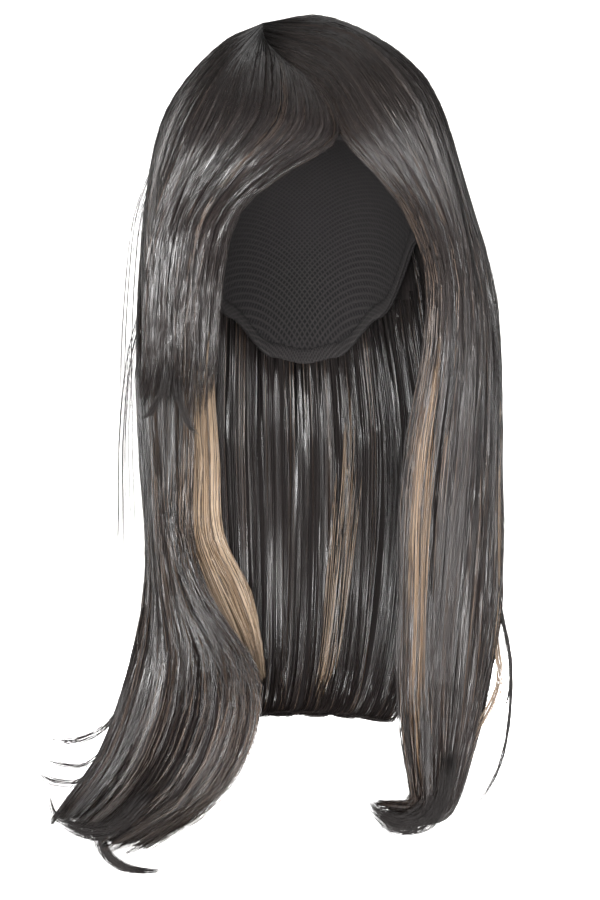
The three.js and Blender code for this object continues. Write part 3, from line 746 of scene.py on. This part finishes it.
# Links a node's inputs to sockets, or sets them to plain values
def feed(tree, node, inputs):
    for key, value in inputs.items():
        if isinstance(value, bpy.types.NodeSocket):
            tree.links.new(value, node.inputs[key])
        else:
            node.inputs[key].default_value = value


def add(tree, kind, inputs, **settings):
    node = tree.nodes.new("ShaderNode" + kind)
    for name, value in settings.items():
        setattr(node, name, value)
    feed(tree, node, inputs)
    return node


def calc(tree, operation, *values):
    return add(tree, "Math", dict(enumerate(values)), operation=operation).outputs[0]


def ramp(tree, value, stops):
    node = add(tree, "ValToRGB", {"Fac": value})
    elements = node.color_ramp.elements
    while len(elements) < len(stops):
        elements.new(0.5)
    for element, (position, colour) in zip(elements, stops):
        element.position = position
        element.color = (*colour, 1)
    return node.outputs["Color"]


def map_place(tree):
    return add(tree, "UVMap", {}, uv_map=MAP_NAME).outputs["UV"]


def emboss(tree, shader, height, strength, relief):
    bump = add(tree, "Bump", {"Height": height, "Strength": strength, "Distance": relief * MM})
    feed(tree, shader, {"Normal": bump.outputs["Normal"]})


# Finish of fibres: colours by tone, colours of roots and tips and their shares, roughness and gloss
Finish = namedtuple("Finish", "stops root_colour root_share tip_colour tip_share gloss specular")
BLACK = (0, 0, 0)
ROOT_FADE = (0.12, 0.42)  # of the length, where the roots' colour gives way
TIP_FADE = 0.45  # of the length, where the tips' colour sets in
GLINT_WAVES = 12  # along the whole length
GLINT_RELIEF = 5  # millimetres
GLINT_SHIFT = 7.3  # of the waves from cell to cell
BAND_TILT = 11  # degrees, by which gloss turns between bands
BAND_STRAY = 0.55  # of the length, between dark and light strands


def tint(tree, shader, finish, tone, along):
    """Colour of a strand by its tone, with its own roots and tips."""
    root_fade = [(ROOT_FADE[0], (finish.root_share,) * 3), (ROOT_FADE[1], BLACK)]
    tip_fade = [(TIP_FADE, BLACK), (1, (finish.tip_share,) * 3)]
    colours = {
        "Factor": ramp(tree, along, root_fade + tip_fade),
        "A": ramp(tree, tone, finish.stops),
        "B": ramp(tree, along, [(ROOT_FADE[1], finish.root_colour), (TIP_FADE, finish.tip_colour)]),
    }
    mixed = add(tree, "Mix", colours, data_type="RGBA")
    feed(tree, shader, {"Base Color": mixed.outputs["Result"]})


def set_gloss(tree, shader, finish, cell):
    """Roughness that every cell of tones has for itself."""
    chance = add(tree, "TexWhiteNoise", {"W": cell}, noise_dimensions="1D").outputs["Value"]
    low, high = finish.gloss
    dull = add(tree, "MapRange", {"Value": chance, "To Min": low, "To Max": high})
    feed(tree, shader, {"Roughness": dull.outputs["Result"], "Specular IOR Level": finish.specular})


def glints(tree, cell, along):
    """Uneven relief along a strand, of its own in every cell of tones."""
    across = calc(tree, "MULTIPLY", cell, GLINT_SHIFT)
    waves = calc(tree, "MULTIPLY", along, GLINT_WAVES)
    spot = add(tree, "CombineXYZ", {"X": across, "Y": waves}).outputs[0]
    noise = {"Vector": spot, "Scale": 1, "Detail": 0}
    return add(tree, "TexNoise", noise, noise_dimensions="2D").outputs["Fac"]


def fibre_material(name, finish, run=1, lean=0, bands=1, band=0.5):
    """Colour, gloss and glints by strand, from its place across the map.
    Over its run of millimetres the gloss leans by some degrees, and bands of sheen cross it."""
    material, tree, shader = nodes_of(name)
    split = add(tree, "SeparateXYZ", {0: map_place(tree)})
    tone, along = split.outputs["X"], split.outputs["Y"]
    cell = calc(tree, "FLOOR", calc(tree, "MULTIPLY", tone, TONE_CELLS))
    tint(tree, shader, finish, tone, along)
    set_gloss(tree, shader, finish, cell)
    turn = 2 * math.pi * bands
    strayed = calc(tree, "MULTIPLY_ADD", tone, BAND_STRAY, along)
    past_band = calc(tree, "SUBTRACT", strayed, band + BAND_STRAY / 2)
    swing = calc(tree, "COSINE", calc(tree, "MULTIPLY", past_band, turn))
    steep = math.tan(math.radians(BAND_TILT)) * run / GLINT_RELIEF
    slope = math.tan(math.radians(lean)) * run / GLINT_RELIEF
    relief = calc(tree, "MULTIPLY_ADD", swing, steep / turn, glints(tree, cell, along))
    emboss(tree, shader, calc(tree, "MULTIPLY_ADD", along, slope, relief), 1, GLINT_RELIEF)
    return material


# Matt surfaces: heights of the dark and light colour, strength and millimetres of relief, level of gloss
Matt = namedtuple("Matt", "contrast strength relief gloss")
BED_MATT = Matt((0.3, 0.75), 0.8, 0.4, 0.1)
NET_MATT = Matt((0.5, 0.95), 0.7, 0.3, 0.15)
BED_STREAKS = (420, 5, 1)  # across and along the map
BED_DETAIL = 3
WAVE_PER_UNIT = 20  # radians of a wave texture in a unit, at scale 1
NET_TURNS = (45, -45)  # degrees


def make_matt(tree, shader, height, matt, colours):
    base = ramp(tree, height, [*zip(matt.contrast, colours)])
    feed(tree, shader, {"Base Color": base, "Roughness": 1, "Specular IOR Level": matt.gloss})
    emboss(tree, shader, height, matt.strength, matt.relief)


def bed_material(name, *colours):
    """Dense hair seen between strands, in colours darker than the strands: partly the hair's own colour,
    partly painted shade in the gaps. Fine streaks along the length, in colour and in relief.
    """
    material, tree, shader = nodes_of(name)
    scaled = add(tree, "Mapping", {"Vector": map_place(tree), "Scale": BED_STREAKS})
    noise = {"Vector": scaled.outputs["Vector"], "Scale": 1, "Detail": BED_DETAIL}
    height = add(tree, "TexNoise", noise).outputs["Fac"]
    make_matt(tree, shader, height, BED_MATT, colours)
    return material


def net_material(name, pitch_mm, *colours):
    """Stretch net: two crossing sets of fine cords in relief."""
    material, tree, shader = nodes_of(name)
    place = add(tree, "TexCoord", {}).outputs["Object"]
    waves = 2 * math.pi / (WAVE_PER_UNIT * pitch_mm * MM)
    heights = []
    for turn in map(math.radians, NET_TURNS):
        turned = add(tree, "Mapping", {"Vector": place, "Rotation": (0, turn, turn)})
        wave = add(tree, "TexWave", {"Vector": turned.outputs["Vector"], "Scale": waves})
        heights.append(wave.outputs["Fac"])
    make_matt(tree, shader, calc(tree, "MAXIMUM", *heights), NET_MATT, colours)
    return material


DARK_STOPS = [
    (0, (0.004, 0.0034, 0.0033)),
    (0.45, (0.0074, 0.006, 0.0058)),
    (0.75, (0.0175, 0.0138, 0.0128)),
    (1, (0.075, 0.05, 0.034)),
]
FAIR_STOPS = [
    (0, (0.012, 0.009, 0.007)),
    (0.4, (0.068, 0.038, 0.018)),
    (0.7, (0.175, 0.121, 0.077)),
    (1, (0.3, 0.228, 0.158)),
]
DARK_ROOT = (0.0105, 0.0088, 0.0083)
DARK_FINISH = Finish(DARK_STOPS, DARK_ROOT, 0.9, (0.022, 0.0155, 0.0135), 0.35, (0.19, 0.34), 0.3)
DULL_FINISH = Finish(DARK_STOPS, DARK_ROOT, 0.9, (0.012, 0.009, 0.008), 0.35, (0.45, 0.6), 0.15)
FAIR_FINISH = Finish(FAIR_STOPS, (0.03, 0.02, 0.013), 0.3, (0.1, 0.062, 0.034), 0.3, (0.25, 0.42), 0.36)
dark_fibre = fibre_material("dark_fibre", DARK_FINISH)
dull_fibre = fibre_material("dull_fibre", DULL_FINISH)
fair_fibre = fibre_material("fair_fibre", FAIR_FINISH)
# Bed colours are darker than their strands: partly the dense hair's own colour, partly painted shade
# between strands
dark_bed_painted_shade = bed_material("dark_bed_painted_shade", (0.0016, 0.0013, 0.0013), (0.007, 0.0055, 0.0052))
fair_bed_painted_shade = bed_material("fair_bed_painted_shade", (0.012, 0.008, 0.005), (0.06, 0.042, 0.028))
cap_net = net_material("cap_net", 1.6, (0.002, 0.0018, 0.002), (0.0085, 0.0076, 0.0076))
band_cloth = net_material("band_cloth", 0.9, (0.003, 0.0027, 0.0027), (0.011, 0.0098, 0.0098))

# Looks of a body of hair: its middle tone, how much bundles and single strands differ from it,
# and the tones of odd strands
Look = namedtuple("Look", "slot finish fibre bed tone spread jitter odd")
DARK = Look("dark_hair", DARK_FINISH, dull_fibre, dark_bed_painted_shade, 0.46, 0.12, 0.004, (0.84, 0.98))
FAIR = Look("fair_hair", FAIR_FINISH, fair_fibre, fair_bed_painted_shade, 0.73, 0.14, 0.15, (0.02, 0.14))


def keep(piece, slot, *nodes):
    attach(piece, BODY)
    if nodes:
        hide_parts(*nodes)


def dress_hair():
    sheets = make_sheets()
    for name, sheet in sheets.items():
        look = FAIR if name.startswith("highlight") else DARK
        growth = GROWTH[name]
        rng = rng_of(growth.seed)
        clumps = make_clumps(growth.clumps, rng)
        sheen = (growth.lean, growth.bands, growth.band)
        finish = look.finish._replace(specular=growth.shine)
        fibre = fibre_material(name + "_fibre", finish, sheet.run, *sheen)
        keep(bed(name + "_bed", sheet, growth, look.bed, rng), look.slot, name)
        whole = (growth.outer, growth.inner, growth.edges)
        strands = grow(sheet, growth, look, clumps, whole, ROOT_STARTS, growth.points, rng)
        keep(tubes(name + "_strands", strands, fibre), look.slot)
        ends = grow(sheet, growth, look, clumps, (growth.ends, 0, 0), END_STARTS, END_POINTS, rng)
        keep(tubes(name + "_ends", ends, fibre), look.slot)
    return sheets


# Fair streaks: where each lies across its carrier, and over which stretch of its length
Streak = namedtuple("Streak", "on face top foot half start end strands tone seed")
STREAKS = {
    "highlight_right": Streak("sweep", "outer", 0.2, 0.26, 0.27, 0.4, 0.88, 116, 0.35, 21),
    "highlight_right_edge": Streak("right_hair", "outer", 0.4, 0.42, 0.03, 0.4, 0.8, 26, 0.4, 22),
    "highlight_back": Streak("back_hair", "inner", 0.66, 0.56, 0.06, 0.5, 0.88, 46, 0.36, 23),
}
STREAK_POINTS = 14
STREAK_SPREAD = 0.5  # of its half width
STREAK_POINTED = 0.25  # of its length, missing at its borders
STREAK_LATE = 0.1  # missing at the roots
STREAK_SHORT = 0.2  # missing at the tips
STREAK_SHORTEST = 0.1
STREAK_NARROWS = 0.3
STREAK_PROUD = (-1.2, 0.9)
STREAK_SWAY = 0.8
STREAK_WIDTHS = (0.294, 0.462)
STREAK_TONES = 0.26


def streak(sheet, row):
    rng = rng_of(row.seed)
    size = (row.strands, 1)
    off = np.clip(rng.normal(0, STREAK_SPREAD, row.strands), -1, 1)
    length = row.end - row.start
    pointed = STREAK_POINTED * length * np.abs(off)
    start = row.start + pointed + rng.exponential(STREAK_LATE, row.strands) * length
    end = row.end - pointed - rng.exponential(STREAK_SHORT, row.strands) * length
    v = sheet.spread(start, np.maximum(end, start + STREAK_SHORTEST), STREAK_POINTS, rng)
    t = (v - row.start) / length
    u = row.top + (row.foot - row.top) * t + row.half * off[:, None] * (1 - STREAK_NARROWS * t)
    proud = rng.uniform(*STREAK_PROUD, size)
    outside = row.face == "outer"
    sink = sheet.groove(u, v) - proud if outside else sheet.depth(u, v) + proud
    inward = sheet.inward(u, v)
    sway = rng.normal(0, STREAK_SWAY, size) * np.sin(2 * np.pi * (t + rng.random(size)))
    paths = sheet.paths(u, v, sink, sway)
    widths = rng.uniform(*STREAK_WIDTHS, row.strands)
    tones = rng.normal(row.tone, STREAK_TONES, row.strands)
    return Strands(paths, -inward if outside else inward, v, widths, tones)


def dress_streaks(sheets):
    for name, row in STREAKS.items():
        keep(tubes(name + "_strands", streak(sheets[row.on], row), fair_fibre), "fair_hair", name)


# Loose hairs: between which shares of a body's length they begin, how long they run, how far they stand
# off and how far they swing
Loose = namedtuple("Loose", "on strands starts runs proud swing seed")
LOOSE = [
    Loose("left_hair", 110, (0.15, 0.75), (0.1, 0.3), (1, 8), 5, 31),
    Loose("right_hair", 50, (0.15, 0.75), (0.1, 0.3), (1, 5), 5, 32),
    Loose("back_hair", 50, (0.15, 0.7), (0.1, 0.3), (1, 5), 5, 33),
    Loose("sweep", 16, (0.3, 0.7), (0.1, 0.25), (1, 4), 5, 34),
    Loose("fringe", 16, (0.4, 0.7), (0.15, 0.3), (1, 3), 4, 35),
    Loose("fringe", 30, (0.02, 0.4), (0.03, 0.07), (0.8, 1.8), 3, 36),
    Loose("sweep", 24, (0.01, 0.22), (0.02, 0.035), (0.8, 1.8), 3, 37),
]
LOOSE_POINTS = 8
LOOSE_WIDTHS = (0.136, 0.204)
LOOSE_TONES = (0.2, 0.9)
LOOSE_MARGIN = 0.03  # from the side edges
LOOSE_ARC = (0.1, 0.75)  # half turns at the root and over the length
LOOSE_ROOT = 0.6  # by which a root lies under the face
ROOT_POWER = 4
SWING_SPREAD = 0.5
SWING_POWER = 1.5


def loose_hairs(sheet, row):
    rng = rng_of(row.seed)
    size = (row.strands, 1)
    u = rng.uniform(LOOSE_MARGIN, 1 - LOOSE_MARGIN, size)
    start = rng.uniform(*row.starts, size)
    t = np.linspace(0, 1, LOOSE_POINTS)[None, :]
    v = start + rng.uniform(*row.runs, size) * t
    u = np.broadcast_to(u, v.shape)
    arc = np.sin(np.pi * (LOOSE_ARC[0] + LOOSE_ARC[1] * t))
    proud = rng.uniform(*row.proud, size) * arc - LOOSE_ROOT * (1 - t) ** ROOT_POWER
    swing = rng.normal(0, SWING_SPREAD, size) * row.swing * t**SWING_POWER
    paths = sheet.paths(u, v, sheet.groove(u, v) - proud, swing)
    widths = rng.uniform(*LOOSE_WIDTHS, row.strands)
    return Strands(paths, -sheet.inward(u, v), v, widths, rng.uniform(*LOOSE_TONES, row.strands))


# Wisps off the locks: strands, widths at root and tip, seed, and points from root to tip
Wisp = namedtuple("Wisp", "strands root tip seed points look", defaults=[DARK])
WISPS = {
    "left_upper": Wisp(26, 4, 5, 41, [
        (-104, 22, -285), (-119, 22, -304), (-130, 22, -309.5), (-141, 21, -311.5), (-156, 20, -308)]),
    "left_middle": Wisp(14, 3, 5, 42, [
        (-116, 22, -314), (-129, 22, -325), (-139, 22, -326), (-149, 21, -323.6), (-159, 20, -320)]),
    "left_lower": Wisp(22, 4, 4, 43, [
        (-121, 22, -326), (-134, 22, -336), (-143, 22, -336), (-151, 21, -334), (-162, 20, -326)]),
    "left_spike": Wisp(16, 5, 3, 44, [(-136, 22, -362), (-147, 22, -356), (-152, 21, -341)]),
    "left_hook": Wisp(110, 9, 2, 45, [
        (-118, 20, -346), (-121, 20, -364), (-117, 18, -377), (-108, 17, -384), (-97, 16, -386.5),
        (-84, 15, -386)]),
    "left_tail": Wisp(150, 13, 8, 52, [
        (-92, 14, -342), (-108, 14, -359), (-121, 15, -363.5), (-133, 16, -361.5), (-145, 17, -355)]),
    "left_side": Wisp(14, 4, 14, 54, [
        (-86, 10, -30), (-101, 12, -80), (-106, 14, -130), (-106, 16, -180), (-107, 18, -225)]),
    "left_brow": Wisp(12, 4, 8, 55, [
        (-80, 0, 40), (-97, 5, 0), (-103, 8, -50), (-105, 10, -100), (-104, 12, -140)]),
    "right_hook": Wisp(250, 16, 7, 53, [
        (80, -1, -316), (77, -5, -338), (69, -9, -350), (57, -10, -354.5), (46, -9, -351), (36, -7, -340)]),
    "right_long": Wisp(20, 2, 1.5, 46, [
        (96, 24, -176), (108, 25, -219), (117, 26, -240), (122, 26, -262), (122, 26, -290),
        (117, 25, -322), (106, 24, -344), (94, 24, -356)]),
    "right_outer": Wisp(12, 2, 4, 47, [
        (110, 24, -186), (115.5, 25, -228), (121, 26, -260), (121, 26, -285), (113, 26, -306)]),
    "right_fair": Wisp(40, 4, 9, 48, [
        (113, 25, -250), (115, 25, -277), (109, 25, -293), (101, 25, -307), (93, 24, -323)], FAIR),
    "right_front": Wisp(12, 3, 3, 49, [(58, -18, -290), (58.5, -18, -308), (62, -16, -324)]),
    "fringe_hook": Wisp(30, 6, 1.5, 50, [
        (-71, -56, -98), (-70, -57, -109), (-67.4, -56, -118), (-64, -55, -126.5), (-58.6, -54, -131.5)]),
    "fringe_corner": Wisp(30, 6, 2, 51, [
        (-76, -54, -92), (-77.4, -54, -104), (-83, -50, -114.4), (-86.7, -48, -119.3), (-91, -46, -122)]),
}
WISP_POINTS = 12
WISP_WIDTHS = (0.224, 0.384)
WISP_SHADE = 0.15  # by which the tones of wisps are darker
WISP_SHORTEST = 0.78  # share of the length
WISP_SPREAD = 0.3  # of the width
WISP_MAP = (0.8, 0.1)  # where it starts along the map, and how far it runs
WISP_UP = (0, -1, 0)


def wisp_strands(row):
    rng = rng_of(row.seed)
    t = np.linspace(0, 1, WISP_POINTS)[None, :] * rng.uniform(WISP_SHORTEST, 1, (row.strands, 1))
    width = row.root + (row.tip - row.root) * t
    aside = np.clip(rng.normal(0, WISP_SPREAD, (row.strands, 1, 3)), -0.5, 0.5)
    paths = spline(np.array(row.points, float), t) + aside * width[..., None]
    ups = np.broadcast_to(WISP_UP, paths.shape)
    widths = rng.uniform(*WISP_WIDTHS, row.strands)
    tones = rng.normal(row.look.tone - WISP_SHADE, row.look.spread, row.strands)
    return Strands(paths, ups, WISP_MAP[0] + WISP_MAP[1] * t, widths, tones)


def dress_loose(sheets):
    bundles = [loose_hairs(sheets[row.on], row) for row in LOOSE]
    hairs = Strands(*map(np.concatenate, zip(*bundles)))
    keep(tubes("loose_hairs", hairs, dark_fibre), "dark_hair")
    for name, row in WISPS.items():
        keep(tubes("wisp_" + name, wisp_strands(row), row.look.fibre), row.look.slot)


def dress_cap():
    azimuth = np.arange(CAP_COLUMNS) * 360 / CAP_COLUMNS
    rim = rim_height(azimuth)

    def wall(name, top, foot, rows, offset, thick, material):
        share = np.linspace(0, 1, rows)[:, None]
        elevation = top + (foot - top) * share
        turn = np.broadcast_to(azimuth, elevation.shape)
        outer = head_points(turn, elevation, offset)
        inner = head_points(turn, elevation, offset - thick)
        return shell(name, outer, inner, material, wraps=True)

    cap = wall("cap_net", CAP_TOP, elevation_at(rim, CAP_WALL), CAP_ROWS, CAP_WALL, CAP_WALL, cap_net)
    keep(cap, "cap_net", "cap")
    low = elevation_at(rim, 0)
    high = elevation_at(rim + BAND_WIDTH, 0)
    band = wall("rim_band", high, low, BAND_ROWS, -BAND_SEAT, BAND_WALL, band_cloth)
    keep(band, "band_cloth", "edge_band")


# Stage and lights in metres: a dish for a floor, by radius and rise, and elliptic lamps
STAGE_RINGS = (
    (0, 0), (1.2, 0), (2.4, 0), (3.2, 0.06), (3.8, 0.22), (4.3, 0.55), (4.6, 1), (4.75, 1.6), (4.8, 2.4)
)
STAGE_SIDES = 96
FLOOR_DROP = 0.045  # under the solids
FLOOR_COLOUR = (0.9, 0.89, 0.88, 1)
FLOOR_GLOW = 0.25
FLOOR_ROUGHNESS = 0.9
MIDDLE = (0, 0, -0.13)
Light = namedtuple("Light", "place target width height power")
LIGHTS = {
    "key": Light((-0.06, -1.35, -0.3), MIDDLE, 1.4, 0.22, 105),
    "fill": Light((1.3, -1.2, 0.5), MIDDLE, 1.2, 1.2, 12),
    "top": Light((0.2, 0.5, 1.6), MIDDLE, 1.2, 1.2, 8),
    "rear": Light((0.3, 1.7, -0.1), MIDDLE, 2.4, 0.4, 85),
    "backdrop": Light((0, 1.0, 1.5), (0, 4.4, -0.3), 1.5, 1.5, 110),
}
WORLD_STRENGTH = 0.36
WHITE = (1, 1, 1, 1)


def make_stage():
    material, tree, shader = nodes_of("floor_white")
    feed(tree, shader, {"Base Color": FLOOR_COLOUR, "Roughness": FLOOR_ROUGHNESS})
    feed(tree, shader, {"Emission Color": FLOOR_COLOUR, "Emission Strength": FLOOR_GLOW})
    turns = np.linspace(0, 2 * np.pi, STAGE_SIDES + 1)[:-1]
    floor_z = CAD_BOX[0].z - FLOOR_DROP
    points = [(r * math.cos(a), r * math.sin(a), floor_z + h) for r, h in STAGE_RINGS for a in turns]
    ids = np.arange(len(points)).reshape(-1, STAGE_SIDES)
    nxt = np.roll(ids, -1, axis=1)
    faces = np.stack([ids[:-1], nxt[:-1], nxt[1:], ids[1:]], -1).reshape(-1, 4)
    mesh = bpy.data.meshes.new("floor")
    mesh.from_pydata(points, [], faces.tolist())
    mesh.polygons.foreach_set("use_smooth", [True] * len(mesh.polygons))
    mesh.materials.append(material)
    floor = place_object("floor", mesh)


def make_lamp(name, light):
    data = bpy.data.lights.new(name, "AREA")
    data.shape = "ELLIPSE"
    data.size = light.width
    data.size_y = light.height
    data.energy = light.power
    lamp = place_object(name, data)
    lamp.visible_camera = False
    lamp.location = light.place
    lamp.rotation_euler = (Vector(light.target) - Vector(light.place)).to_track_quat("-Z", "Y").to_euler()


def make_light():
    for name, light in LIGHTS.items():
        make_lamp(name, light)
    world = bpy.data.worlds.new("studio")
    world.use_nodes = True
    tree = world.node_tree
    feed(tree, tree.nodes["Background"], {"Color": WHITE, "Strength": WORLD_STRENGTH})
    bpy.context.scene.world = world
    bpy.context.scene.view_settings.view_transform = "Standard"


def make_camera():
    data = bpy.data.cameras.new("camera")
    data.sensor_width = SENSOR
    data.lens = SENSOR * CAMERA_DISTANCE / (FRAME_HEIGHT_PX * MM_PER_PX)
    camera = place_object("camera", data)
    camera.location = (CAMERA_X * MM, -CAMERA_DISTANCE * MM, CAMERA_Z * MM)
    camera.rotation_euler = (math.pi / 2, 0, 0)
    bpy.context.scene.camera = camera


hair_sheets = dress_hair()
dress_streaks(hair_sheets)
dress_loose(hair_sheets)
dress_cap()
make_stage()
make_light()
make_camera()
